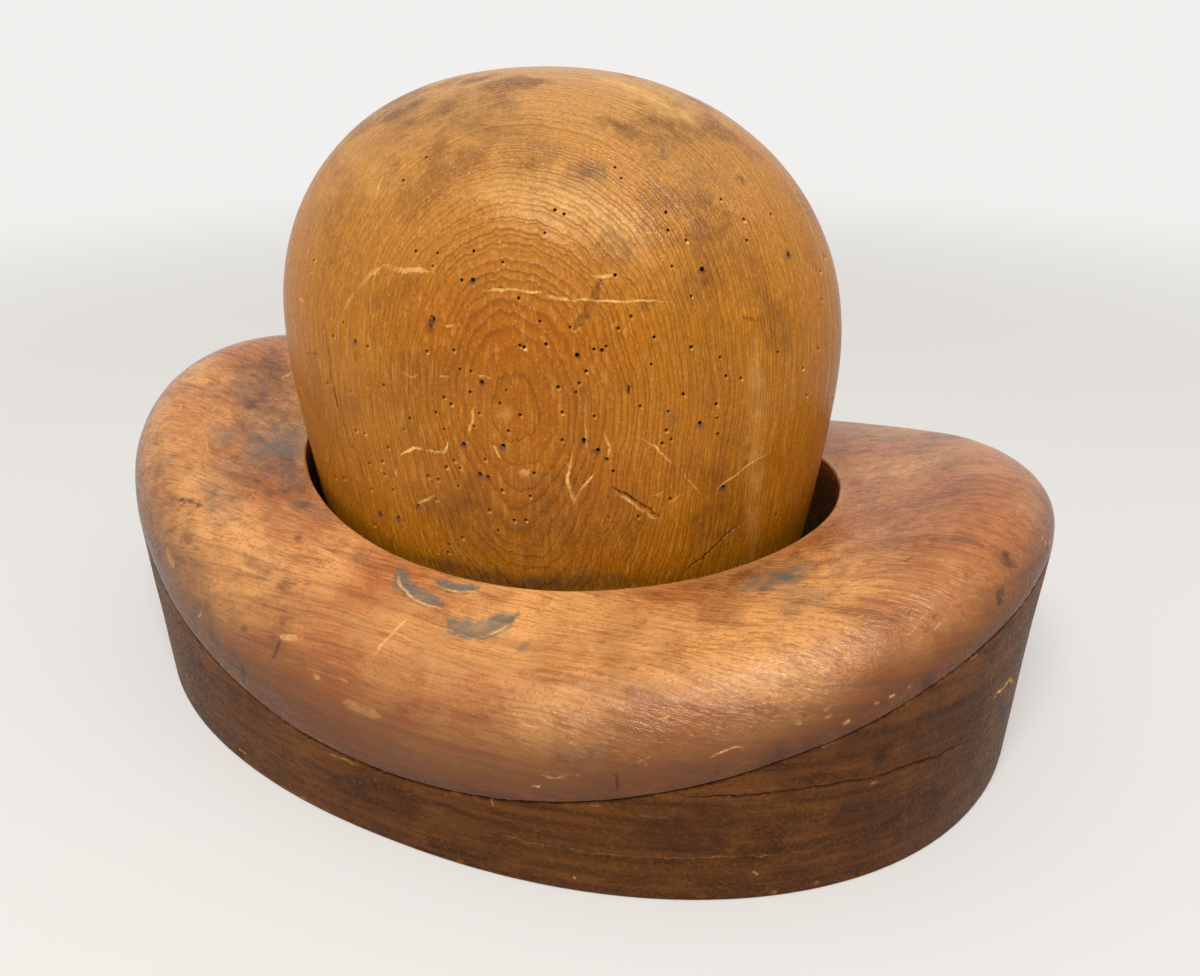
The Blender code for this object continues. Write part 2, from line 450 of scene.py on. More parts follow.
def mark_stains(mark, stains_by_tone):
    """Marks stains, which have no depth, each as (path, half width in mm, strength)."""
    for tone, stains in stains_by_tone.items():
        for pixels, half_width_mm, strength in stains:
            mark(pixels, half_width_mm, 0.0, **{tone: strength})


brim_marks = []
mark_brim = marker(brim_surface, BRIM_COLUMNS, BRIM_ROWS, brim_marks)

# The scored line wavers a little as a hand-held knife does
SCORED_HALF_WIDTH = 0.00045
SCORED_DEPTH = 0.00090
WAVERS_PER_RADIAN = 6
WAVER_ROWS = 0.10
turns = np.linspace(0, 1, 401)
spots = [Vector((math.cos(a), math.sin(a), 0.0)) * WAVERS_PER_RADIAN for a in turns * 2 * math.pi]
waver = np.array([noise.noise(spot) for spot in spots])
scored_line = brim_surface(turns, LINE_ROW + WAVER_ROWS * waver)
brim_marks.append(Mark(scored_line, SCORED_HALF_WIDTH, SCORED_DEPTH, {"dirt": 0.85}))

# Knife cuts on the wall below the line
LEVEL_CUT = [(671, 793), (691, 797), (723, 797), (762, 795), (804, 790), (842, 783),
             (875, 777), (908, 766), (933, 758), (950, 750), (970, 740)]
LOW_CUT = [(471, 826), (530, 842), (594, 853), (630, 856), (694, 858), (760, 856), (830, 849)]
SHORT_CUT = [(637, 815), (655, 818), (673, 817)]
mark_brim(LEVEL_CUT, 0.45, 0.50, dirt=0.9)
mark_brim(LOW_CUT, 0.22, 0.15, bare=0.13)
mark_brim(SHORT_CUT, 0.25, 0.15, bare=0.12)

# Crescents where the finish is crushed to grey, each with a pale lip on its lower side that is
# partly a painted highlight
CRESCENTS = [
    ([(398, 567), (401, 580), (410, 591), (422, 598), (442, 604)], 2.4),
    ([(448, 619), (457, 627), (470, 631), (487, 629), (503, 622), (517, 614)], 3.4),
    ([(437, 580), (446, 586), (458, 589), (478, 588)], 1.7),
]
LIP_PIXELS_PER_MM = 2.1
LIP_LEAN = 0.2
for crescent, half_width_mm in CRESCENTS:
    drop = half_width_mm * LIP_PIXELS_PER_MM
    lip = [(x - LIP_LEAN * drop, y + drop) for x, y in crescent]
    mark_brim(crescent, half_width_mm, 0.25, grey=1.0)
    mark_brim(lip, 0.45, 0.10, bare=0.9)

# Other scratches, nicks and flakes, as (path, half width in mm, depth in mm, strength)
PALE_NICKS = [
    ([(407, 620), (390, 637), (373, 655)], 0.55, 0.20, 1.4),
    ([(516, 717), (528, 725), (541, 727)], 0.30, 0.20, 0.6),
    ([(542, 774), (555, 777), (573, 774)], 0.45, 0.30, 0.4),
    ([(707, 760), (721, 751), (737, 746), (748, 751)], 0.25, 0.20, 0.45),
    ([(632, 765), (651, 756)], 0.20, 0.10, 0.4),
    ([(636, 756), (648, 766)], 0.20, 0.10, 0.4),
    ([(992, 702), (1000, 693), (1012, 679), (1015, 683)], 0.60, 0.45, 1.0),
    ([(199, 617), (203, 612)], 0.35, 0.15, 0.7),
    ([(280, 636), (297, 640)], 1.00, 0.05, 0.45),
    ([(166, 548), (171, 560), (175, 569)], 1.20, 0.05, 0.45),
    ([(343, 702), (359, 708), (380, 716)], 1.40, 0.05, 0.28),
    ([(314, 675), (320, 678)], 0.80, 0.05, 0.4),
    ([(842, 724), (850, 720)], 0.45, 0.15, 0.5),
    ([(873, 703), (880, 700)], 0.35, 0.15, 0.5),
    ([(888, 697), (895, 693)], 0.35, 0.15, 0.5),
    ([(794, 723), (802, 722)], 0.70, 0.10, 0.25),
    ([(869, 783), (878, 781)], 0.30, 0.15, 0.4),
    ([(1030, 592), (1035, 586)], 0.40, 0.20, 0.6),
    ([(1020, 604), (1024, 600)], 0.35, 0.20, 0.5),
    ([(970, 660), (977, 654)], 0.30, 0.15, 0.4),
    ([(752, 871), (758, 874)], 0.30, 0.15, 0.4),
    ([(573, 875), (576, 880)], 0.30, 0.20, 0.4),
    ([(491, 799), (493, 806)], 0.30, 0.15, 0.5),
    ([(237, 748), (247, 756)], 0.30, 0.15, 0.4),
    ([(330, 754), (358, 765)], 0.30, 0.15, 0.35),
    ([(270, 712), (292, 727)], 0.25, 0.10, 0.35),
]
for pixels, half_width_mm, depth_mm, strength in PALE_NICKS:
    mark_brim(pixels, half_width_mm, depth_mm, bare=strength)

# Ink, oil and glue that the wood has drunk up, felt dye, where hands have rubbed the top pale, and
# painted highlights along the roll and on the right end
BRIM_STAINS = {
    "dirt": [
        ([(925, 684)], 2.8, 0.9), ([(874, 757), (884, 756)], 3.2, 0.8),
        ([(856, 864), (857, 880)], 1.6, 0.7), ([(1000, 700), (1004, 718)], 2.6, 0.8),
        ([(1009, 562)], 2.6, 0.6), ([(966, 577)], 0.9, 0.9), ([(1002, 586), (997, 606)], 1.2, 0.7),
        ([(243, 664), (244, 684)], 1.3, 0.8), ([(244, 629)], 1.4, 0.7),
        ([(285, 632), (272, 660)], 0.7, 0.5), ([(617, 771), (617, 790)], 0.6, 0.7),
        ([(298, 537)], 1.4, 0.5), ([(177, 500), (190, 501), (203, 507)], 1.2, 0.6),
        ([(905, 735), (950, 720), (985, 700)], 7.0, 0.5), ([(850, 750), (900, 735)], 6.0, 0.5),
        ([(760, 770), (850, 745), (905, 730)], 7.0, 0.45), ([(840, 820), (880, 810)], 9.0, 0.45),
        ([(640, 830), (720, 835)], 8.0, 0.5), ([(560, 760), (600, 745)], 6.0, 0.25),
        ([(330, 780), (420, 810)], 4.0, 0.3), ([(150, 500), (160, 560)], 5.0, 0.3),
        ([(590, 650), (630, 640)], 5.0, 0.15), ([(935, 541), (985, 540)], 3.5, 0.35),
        ([(270, 350), (262, 400), (275, 470), (300, 505)], 12.0, 0.45),
        # The first patch below darkens the left end along its edge
        ([(160, 440), (172, 540), (215, 640)], 9.0, 0.3), ([(205, 500), (245, 470)], 9.0, 0.3),
        ([(860, 430), (930, 450), (985, 490)], 9.0, 0.2),
        ([(700, 588), (745, 575), (800, 560)], 8.0, 0.35), ([(600, 640), (640, 625)], 4.0, 0.25),
        ([(250, 560), (300, 620)], 8.0, 0.2), ([(870, 560), (930, 540)], 7.0, 0.2),
    ],
    "grey": [
        ([(744, 590), (772, 580), (815, 568)], 5.0, 0.75), ([(252, 448), (285, 440)], 13.0, 0.6),
        ([(240, 395), (262, 380)], 7.0, 0.35), ([(517, 652), (529, 641)], 1.6, 0.6),
        ([(830, 575), (850, 565)], 4.0, 0.4), ([(300, 500), (330, 520)], 6.0, 0.25),
        ([(878, 440), (900, 436)], 6.0, 0.2), ([(215, 455), (225, 530)], 7.0, 0.25),
        ([(770, 602), (830, 592)], 7.0, 0.3),
    ],
    "bare": [
        ([(320, 590), (450, 650), (560, 640), (700, 630)], 11.0, 0.30),
        # This patch and those on the next two lines are painted highlights on the roll and the right end
        ([(560, 690), (700, 690), (800, 672)], 4.0, 0.20),
        ([(1020, 440), (1035, 480), (1030, 530)], 6.0, 0.25),
        ([(860, 660), (930, 625), (970, 590)], 5.0, 0.12), ([(900, 600), (960, 560)], 8.0, 0.15),
    ],
}
mark_stains(mark_brim, BRIM_STAINS)

# Wear that no one mark of the photograph gives: chips along the line and the foot, fine scratches all
# over, and stains on the hidden sides. Turns are shares of a turn round the block from its right end.
HIDDEN_TURNS = (0.08, 0.62)
SEEN_TURNS = (0.62, 1.06)
wear = random.Random(7)


def short_path(surface, turn, row, length, slant):
    """A short straight scratch on a surface. slant 0 runs round the block and 1 along its rows."""
    here = surface(np.array([turn, turn + 0.001, turn]), np.array([row, row, row + 0.1]))
    per_turn = 0.001 * length / np.linalg.norm(here[1] - here[0]) * (1 - abs(slant))
    per_row = 0.1 * length / np.linalg.norm(here[2] - here[0]) * slant
    shares = np.linspace(0, 1, 5)
    return surface(turn + per_turn * shares, row + per_row * shares)


def scratch(surface, marks, draw, count, turns, rows, lengths, most_slant, half_widths, depth, strengths):
    """Draws short scratches at random from the ranges given, two of three bare and the others dirty."""
    for _ in range(count):
        turn = draw.uniform(*turns) % 1.0
        row = draw.uniform(*rows)
        path = short_path(surface, turn, row, draw.uniform(*lengths), draw.uniform(-most_slant, most_slant))
        tone = draw.choice(("bare", "bare", "dirt"))
        marks.append(Mark(path, draw.uniform(*half_widths), depth, {tone: draw.uniform(*strengths)}))


# Chips, as (count, rows, longest, half widths, depth, strengths)
for count, rows, longest, half_widths, depth, strengths in (
    (50, (LINE_ROW + 0.05, LINE_ROW - 0.2), 0.004, (0.0003, 0.0006), 0.0003, (0.05, 0.3)),
    (44, (WALL_START + 0.02, WALL_START + 0.15), 0.005, (0.0004, 0.0009), 0.0004, (0.0, 0.2)),
):
    for _ in range(count):
        path = short_path(brim_surface, wear.random(), wear.uniform(*rows), wear.uniform(0.001, longest), 0)
        brim_marks.append(Mark(path, wear.uniform(*half_widths), depth, {"bare": wear.uniform(*strengths)}))
scratch(brim_surface, brim_marks, wear, 45, HIDDEN_TURNS, (WALL_START, RIM_START),
        (0.002, 0.014), 0.6, (0.0003, 0.0007), 0.0002, (0.3, 0.8))
scratch(brim_surface, brim_marks, wear, 80, SEEN_TURNS, (LINE_ROW, TOP_START + 6),
        (0.001, 0.005), 0.25, (0.0002, 0.0004), 0.0001, (0.2, 0.6))
for _ in range(18):
    row = wear.uniform(WALL_START, RIM_START)
    patch = brim_surface(np.array([wear.uniform(*HIDDEN_TURNS)]), np.array([row]))
    tone = "grey" if row > TOP_START and wear.random() < 0.4 else "dirt"
    brim_marks.append(Mark(patch, wear.uniform(0.003, 0.012), 0.0, {tone: wear.uniform(0.2, 0.6)}))

# Tones by row: wall is the darker wood below the line, fading up the roll's lower rows, and is
# darker partly as painted shade; raw is wood that no finish reached
brim_zones = {
    "below_line": ((BASE_ROWS - 0.1, BASE_ROWS, LINE_ROW, LINE_ROW + 0.01), (0.0, 1.0, 1.0, 0.0)),
    "wall": (
        (LINE_ROW, LINE_ROW + 1.5, LINE_ROW + 3, LINE_ROW + 5, LINE_ROW + 7, LINE_ROW + 9),
        (1.0, 0.90, 0.64, 0.28, 0.08, 0.0),
    ),
    "foot": ((BASE_ROWS, WALL_START + 1, LINE_ROW - 1), (1.0, 0.8, 0.0)),
    # rim is a painted highlight along the opening's edge
    "rim": ((RIM_START - 1, RIM_START + 1, RIM_START + 3, INNER_START), (0.0, 0.7, 0.7, 0.0)),
    "raw": ((BASE_ROWS - 1, BASE_ROWS, INNER_START, INNER_START + 2), (1.0, 0.0, 0.0, 1.0)),
}
brim_mesh = wooden_mesh(
    "brim_block_wood", brim_surface, BRIM_COLUMNS, BRIM_ROWS, brim_marks,
    closed=True, unevenness=hand_unevenness, zones=brim_zones,
)
below_line = np.empty(len(brim_mesh.vertices))
brim_mesh.attributes["below_line"].data.foreach_get("value", below_line)
on_the_wall = np.array([below_line[list(face.vertices)].min() > 0.5 for face in brim_mesh.polygons])
brim_wood = put_in_scene("brim_block_wood", brim_mesh)


def linear(hex_colour):
    """The linear colour of an sRGB hex value, with alpha 1."""
    parts = [int(hex_colour[n:n + 2], 16) / 255 for n in (1, 3, 5)]
    return (*[c / 12.92 if c <= 0.04045 else ((c + 0.055) / 1.055) ** 2.4 for c in parts], 1.0)


def add(tree, kind, sockets, **settings):
    """Adds a shader node with its settings. A socket given another node's output is linked to it."""
    node = tree.nodes.new("ShaderNode" + kind)
    for name, value in settings.items():
        setattr(node, name, value)
    for name, value in sockets.items():
        if isinstance(value, bpy.types.NodeSocket):
            tree.links.new(value, node.inputs[name])
        else:
            node.inputs[name].default_value = value
    return node.outputs


def new_finish(name):
    """A new material, with its node tree and its shader."""
    finish = bpy.data.materials.new(name)
    finish.use_nodes = True
    return finish, finish.node_tree, finish.node_tree.nodes["Principled BSDF"]


PATTERN_ROUGHNESS = 0.6
BARE_IS_DULLER = 0.25
WAX_IOR = 1.5


def lay_patterns(tree, plain, bent, table):
    """The patterns of a table by name, laid straight or with bent grain."""
    patterns = {}
    for name, (is_bent, per_metre, detail) in table.items():
        place = bent if is_bent else plain
        scaled = add(tree, "VectorMath", {0: place, 1: per_metre}, operation="MULTIPLY")[0]
        sockets = {"Vector": scaled, "Scale": 1.0, "Detail": detail, "Roughness": PATTERN_ROUGHNESS}
        patterns[name] = add(tree, "TexNoise", sockets)["Fac"]
    return patterns


def lay_tones(tree, colour, patterns, tones):
    """Lays tones over a colour, one after another.

    Each is (pattern, level at which it starts to show, level at which it is full, strength, hex colour).
    """
    for pattern, start, full, strength, hex_colour in tones:
        sockets = {"Value": patterns[pattern], "From Min": start, "From Max": full, "To Max": strength}
        shown = add(tree, "MapRange", sockets)[0]
        colour = add(tree, "Mix", {0: shown, 6: colour, 7: linear(hex_colour)}, data_type="RGBA")[2]
    return colour


def lay_marks(tree, colour, patterns, marks):
    """Lays the marks' tones over a colour, each as (tone, raggedness of its edge, strength, hex colour)."""
    ragged = add(tree, "Math", {0: patterns["spots"], 1: 0.5}, operation="SUBTRACT")[0]
    for tone, edge, strength, hex_colour in marks:
        drawn = add(tree, "Attribute", {}, attribute_name=tone)["Fac"]
        factor = add(tree, "Math", {0: ragged, 1: edge, 2: strength}, operation="MULTIPLY_ADD")[0]
        shown = add(tree, "Math", {0: factor, 1: drawn}, operation="MULTIPLY", use_clamp=True)[0]
        colour = add(tree, "Mix", {0: shown, 6: colour, 7: linear(hex_colour)}, data_type="RGBA")[2]
    return colour


def finish_wood(tree, shader, colour, patterns, gloss, height, relief, bump, specular):
    """Gives a wood its colour, its gloss and the relief of its grain.

    gloss is (pattern, level at which it is glossiest, level at which it is dullest, the roughness at
    each), relief adds patterns to the height by (pattern, weight) and bump is (strength, metres).
    """
    tree.links.new(colour, shader.inputs["Base Color"])
    pattern, low, high, glossiest, dullest = gloss
    levels = {"From Min": low, "From Max": high, "To Min": glossiest, "To Max": dullest}
    rough = add(tree, "MapRange", {"Value": patterns[pattern], **levels})[0]
    bare = add(tree, "Attribute", {}, attribute_name="bare")["Fac"]
    rough = add(tree, "Math", {0: bare, 1: BARE_IS_DULLER, 2: rough}, operation="MULTIPLY_ADD")[0]
    tree.links.new(rough, shader.inputs["Roughness"])
    for pattern, weight in relief:
        sockets = {0: patterns[pattern], 1: weight, 2: height}
        height = add(tree, "Math", sockets, operation="MULTIPLY_ADD")[0]
    grain = add(tree, "Bump", {"Strength": bump[0], "Distance": bump[1], "Height": height})["Normal"]
    tree.links.new(grain, shader.inputs["Normal"])
    shader.inputs["IOR"].default_value = WAX_IOR
    shader.inputs["Specular IOR Level"].default_value = specular


# Old waxed hardwood: red-brown with fine fibres along the block. The top and the roll are rubbed
# smooth and tan by felt and hands, and the wall below the scored line has stayed dark and dull; its
# brown, and the roll's lower rows that fade to it, are darker partly as painted shade. The fibres are
# about 0.3 mm wide and are drawn at 0.9 mm, so that they show.
RED_BROWN = "#b66d38"
TAN_BROWN = "#de9b59"
FIBRE_BROWN = "#763e18"
# The roll and wall browns are darker partly as painted shade
ROLL_BROWN_AND_SHADE = "#532a08"
WALL_BROWN_AND_SHADE = "#5e3512"
WALL_DARK = "#361b07"
WALL_LIGHT = "#74451c"
BARE_HARDWOOD_AND_HIGHLIGHT = "#dfa868"
INK_BROWN = "#32190f"
CRUSHED_GREY = "#6b6155"
RAW_HARDWOOD = "#7a5436"
GRAIN_SWAY = 0.006
SWAYS_PER_METRE = 22.0

# Each pattern is (whether it sways with the grain, grains per metre along each axis, detail), so
# 1100 is a grain every 0.9 mm and 15 one every 67 mm
BRIM_PATTERNS = {
    "fibres": (True, (55.0, 1100.0, 1100.0), 3.0),
    "strands": (True, (10.0, 240.0, 240.0), 3.0),
    "clouds": (True, (38.0, 38.0, 38.0), 3.0),
    "level_streaks": (False, (14.0, 14.0, 330.0), 3.0),
    "broad": (False, (15.0, 15.0, 15.0), 2.0),
    "spots": (False, (150.0, 150.0, 150.0), 6.0),
    "dents": (False, (90.0, 90.0, 160.0), 5.0),
    "scuffs": (True, (130.0, 800.0, 800.0), 3.0),
    "pores": (False, (900.0, 900.0, 900.0), 2.0),
}
HANDLED_TONES = (
    ("broad", 0.42, 0.60, 1.00, TAN_BROWN),
    ("fibres", 0.46, 0.32, 0.35, BARE_HARDWOOD_AND_HIGHLIGHT),
    ("clouds", 0.54, 0.70, 0.45, FIBRE_BROWN),
    ("wall", 0.00, 1.00, 1.00, ROLL_BROWN_AND_SHADE),
    ("streaks_below", 0.10, 0.60, 0.25, WALL_DARK),
    ("spots", 0.52, 0.64, 0.30, FIBRE_BROWN),
    ("strands", 0.50, 0.66, 0.42, FIBRE_BROWN),
    ("scuffs", 0.42, 0.32, 0.42, FIBRE_BROWN),
    ("fibres", 0.52, 0.66, 0.45, FIBRE_BROWN),
    ("pores", 0.54, 0.66, 0.34, FIBRE_BROWN),
)
WALL_TONES = (
    ("foot", 0.00, 1.00, 0.55, WALL_DARK),
    ("level_streaks", 0.50, 0.66, 0.65, WALL_DARK),
    ("level_streaks", 0.46, 0.32, 0.45, WALL_LIGHT),
    ("clouds", 0.52, 0.66, 0.70, WALL_DARK),
    ("dents", 0.48, 0.34, 0.35, WALL_LIGHT),
    ("fibres", 0.52, 0.66, 0.40, WALL_DARK),
    ("pores", 0.48, 0.34, 0.45, WALL_LIGHT),
)
BRIM_MARK_TONES = (
    ("raw", 0.5, 0.90, RAW_HARDWOOD),
    ("dirt", 3.0, 0.85, INK_BROWN),
    ("grey", 1.6, 0.90, CRUSHED_GREY),
    ("bare", 4.0, 0.60, BARE_HARDWOOD_AND_HIGHLIGHT),
    # A painted highlight along the opening's edge
    ("rim", 3.0, 0.45, BARE_HARDWOOD_AND_HIGHLIGHT),
    ("hole", 0.2, 1.00, INK_BROWN),
)

# Raised fibres break the shine of the handled wood into long streaks. Both finishes are dented.
BRIM_RELIEF = (("pores", 0.35), ("level_streaks", 0.6), ("dents", 2.5), ("scuffs", 1.2))
BRIM_BUMP = (0.7, 0.0005)
GLOSS_LEVELS = (0.40, 0.60)
STREAK_LEVELS = {"From Min": 0.46, "From Max": 0.66}

# Each finish is (name, base colour, tones, least roughness, most roughness, specular level)
for name, base, tones, glossiest, dullest, specular in (
    ("waxed_hardwood_handled", RED_BROWN, HANDLED_TONES, 0.13, 0.32, 0.32),
    ("waxed_hardwood_wall", WALL_BROWN_AND_SHADE, WALL_TONES, 0.36, 0.56, 0.08),
):
    finish, tree, shader = new_finish(name)
    place = add(tree, "TexCoord", {})["Object"]
    sway = add(tree, "TexNoise", {"Vector": place, "Scale": SWAYS_PER_METRE, "Detail": 1.0})["Color"]
    bent = add(tree, "VectorMath", {0: sway, 1: (GRAIN_SWAY,) * 3, 2: place}, operation="MULTIPLY_ADD")[0]
    patterns = lay_patterns(tree, place, bent, BRIM_PATTERNS)
    for zone in ("wall", "foot"):
        patterns[zone] = add(tree, "Attribute", {}, attribute_name=zone)["Fac"]
    streaks = add(tree, "MapRange", {"Value": patterns["level_streaks"], **STREAK_LEVELS})[0]
    streaks = add(tree, "Math", {0: streaks, 1: patterns["wall"]}, operation="MULTIPLY")[0]
    patterns["streaks_below"] = streaks
    colour = lay_tones(tree, linear(base), patterns, tones)
    colour = lay_marks(tree, colour, patterns, BRIM_MARK_TONES)
    gloss = ("fibres", *GLOSS_LEVELS, glossiest, dullest)
    finish_wood(tree, shader, colour, patterns, gloss, patterns["fibres"], BRIM_RELIEF, BRIM_BUMP, specular)
    brim_mesh.materials.append(finish)

# The wall takes the second finish, from the foot to the scored line
WALL_SLOT = 1
brim_mesh.polygons.foreach_set("material_index", WALL_SLOT * on_the_wall.astype(np.int32))

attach(brim_wood, "brim")
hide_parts("brim_block")

# The crown block is one domed oval of pale softwood, turned and rasped to the shape of a head. It
# stands loosely in the brim block's opening and lifts straight out. Beetles have bored into it, and
# a hole is drilled in its foot for the spindle of a stand.
CROWN_LENGTH = 0.2096
CROWN_WIDTH = 0.1626
CROWN_HEIGHT = 0.2198
BROW_HEIGHT = 0.1269
DOME_FULLNESS = 2.23
FOOT_DRAW_IN = 0.0181
CROWN_FOOT_RADIUS = 0.0020
SPINDLE_BORE = 0.0254
SPINDLE_DEPTH = 0.0600
DRILL_POINT_ANGLE = math.radians(118)
CROWN_TURN = math.radians(-2.5)
CROWN_SHIFT = (-0.0018, -0.0005)

# Rows of cells from the top of the dome down the side, across the foot and up the spindle hole
CROWN_COLUMNS = 140
DOME_ROWS = 36
SIDE_ROWS = 30
CROWN_FOOT_ROWS = 3
UNDER_ROWS = 14
BORE_ROWS = 12
POINT_ROWS = 3
SIDE_END = DOME_ROWS + SIDE_ROWS
UNDER_START = SIDE_END + CROWN_FOOT_ROWS
BORE_START = UNDER_START + UNDER_ROWS
POINT_START = BORE_START + BORE_ROWS
CROWN_ROWS = POINT_START + POINT_ROWS


def crown_surface(turn, row):
    """Points of the crown block, by the share of a clockwise turn round it and the row from its top."""
    angle = -2 * math.pi * turn
    dome = np.clip(1 - row / DOME_ROWS, 0, 1) * math.pi / 2
    side = np.clip((row - DOME_ROWS) / SIDE_ROWS, 0, 1)
    foot = np.clip((row - SIDE_END) / CROWN_FOOT_ROWS, 0, 1) * math.pi / 2
    under = np.clip((row - UNDER_START) / UNDER_ROWS, 0, 1)
    hole = np.clip((row - BORE_START) / BORE_ROWS, 0, 1)
    point = np.clip((row - POINT_START) / POINT_ROWS, 0, 1)

    rise = np.sin(dome) ** (2 / DOME_FULLNESS)
    radius = CROWN_LENGTH / 2 * np.clip(np.cos(dome), 0, 1) ** (2 / DOME_FULLNESS)
    radius = radius - FOOT_DRAW_IN * (side * (1 - CROWN_FOOT_RADIUS / BROW_HEIGHT)) ** 1.5
    radius = radius - CROWN_FOOT_RADIUS * (1 - np.cos(foot))
    z = BROW_HEIGHT + (CROWN_HEIGHT - BROW_HEIGHT) * rise - (BROW_HEIGHT - CROWN_FOOT_RADIUS) * side
    z = z - CROWN_FOOT_RADIUS * np.sin(foot)
    narrow = CROWN_WIDTH / CROWN_LENGTH
    bore = SPINDLE_BORE / 2
    x = (radius + (bore - radius) * under) * np.cos(angle) * (1 - point)
    y = (radius * narrow + (bore - radius * narrow) * under) * np.sin(angle) * (1 - point)
    z = z + SPINDLE_DEPTH * hole + bore / math.tan(DRILL_POINT_ANGLE / 2) * point
    c = math.cos(CROWN_TURN)
    s = math.sin(CROWN_TURN)
    return np.stack([x * c - y * s + CROWN_SHIFT[0], x * s + y * c + CROWN_SHIFT[1], z], -1)


CROWN_WAVES = ((0.060, 0.0005), (0.018, 0.00014))
CALM_BELOW = 0.04
CALM_FADE = 0.08
LEAST_UNEVEN = 0.3


def crown_unevenness(places):
    """How far the rasp and wear left the crown block uneven. It is calmer inside the brim block."""
    calm = np.clip((places[:, 2] - CALM_BELOW) / CALM_FADE, LEAST_UNEVEN, 1)
    return hand_unevenness(places, CROWN_WAVES) * calm


crown_marks = []
mark_crown = marker(crown_surface, CROWN_COLUMNS, CROWN_ROWS, crown_marks)

# Beetle holes, each about a millimetre across, near black inside as painted shade and with a pale
# lip below that is a painted highlight. Those of the second list are larger and have a dark halo.
BEETLE_HOLES = [
    (426, 157), (403, 180), (416, 251), (438, 253), (474, 251), (433, 266), (503, 262), (462, 280),
    (555, 210), (564, 214), (545, 233), (519, 298), (540, 321), (570, 327), (368, 346), (427, 351),
    (454, 350), (520, 345), (524, 347), (546, 344), (460, 369), (471, 371), (384, 385), (470, 392),
    (444, 397), (506, 390), (558, 387), (328, 383), (351, 391), (334, 336), (344, 322), (315, 260),
    (615, 167), (621, 178), (666, 212), (668, 230), (686, 240), (672, 266), (691, 296), (771, 214),
    (744, 219), (747, 240), (721, 199), (824, 256), (820, 271), (821, 299), (615, 275), (631, 316),
    (618, 328), (606, 346), (594, 349), (602, 350), (586, 371), (651, 364), (691, 347), (720, 357),
    (726, 376), (741, 378), (683, 394), (778, 352), (803, 368), (818, 348), (807, 395), (654, 337),
    (579, 383), (576, 392), (451, 404), (436, 412), (410, 418), (404, 429), (444, 429), (479, 413),
    (500, 403), (562, 412), (520, 415), (508, 431), (474, 426), (365, 433), (356, 430), (434, 450),
    (388, 447), (485, 459), (454, 460), (382, 461), (369, 463), (446, 467), (460, 468), (384, 474),
    (428, 476), (438, 479), (534, 473), (502, 490), (335, 477), (343, 478), (371, 489), (393, 490),
    (530, 496), (436, 499), (374, 524), (402, 527), (514, 520), (526, 520), (498, 530), (462, 537),
    (449, 544), (448, 552), (489, 510), (458, 486), (594, 416), (607, 459), (613, 471), (562, 440),
    (640, 406), (716, 404), (666, 430), (671, 439), (662, 443), (668, 411), (670, 498), (638, 516),
    (776, 514), (717, 418), (718, 434),
]
HALOED_HOLES = [
    (473, 280), (434, 319), (356, 341), (482, 382), (702, 269), (788, 254), (577, 355), (464, 444),
    (503, 446), (480, 474), (488, 477), (418, 505), (380, 513), (399, 517), (584, 440), (598, 450),
    (700, 423), (723, 487),
]
HOLE_DEPTH_MM = 1.2
HALOED_DEPTH_MM = 1.6
boring = random.Random(11)
for x, y in BEETLE_HOLES:
    mark_crown([(x, y)], boring.uniform(0.38, 0.54), HOLE_DEPTH_MM, hole=1.0)
    mark_crown([(x, y + 3), (x + 3, y + 2)], 0.3, 0.0, bare=boring.uniform(0.1, 0.8))
for x, y in HALOED_HOLES:
    mark_crown([(x, y)], boring.uniform(0.55, 0.72), HALOED_DEPTH_MM, hole=1.0)
    mark_crown([(x, y), (x + 1, y + 4)], boring.uniform(1.1, 1.6), 0.0, grey=0.75)

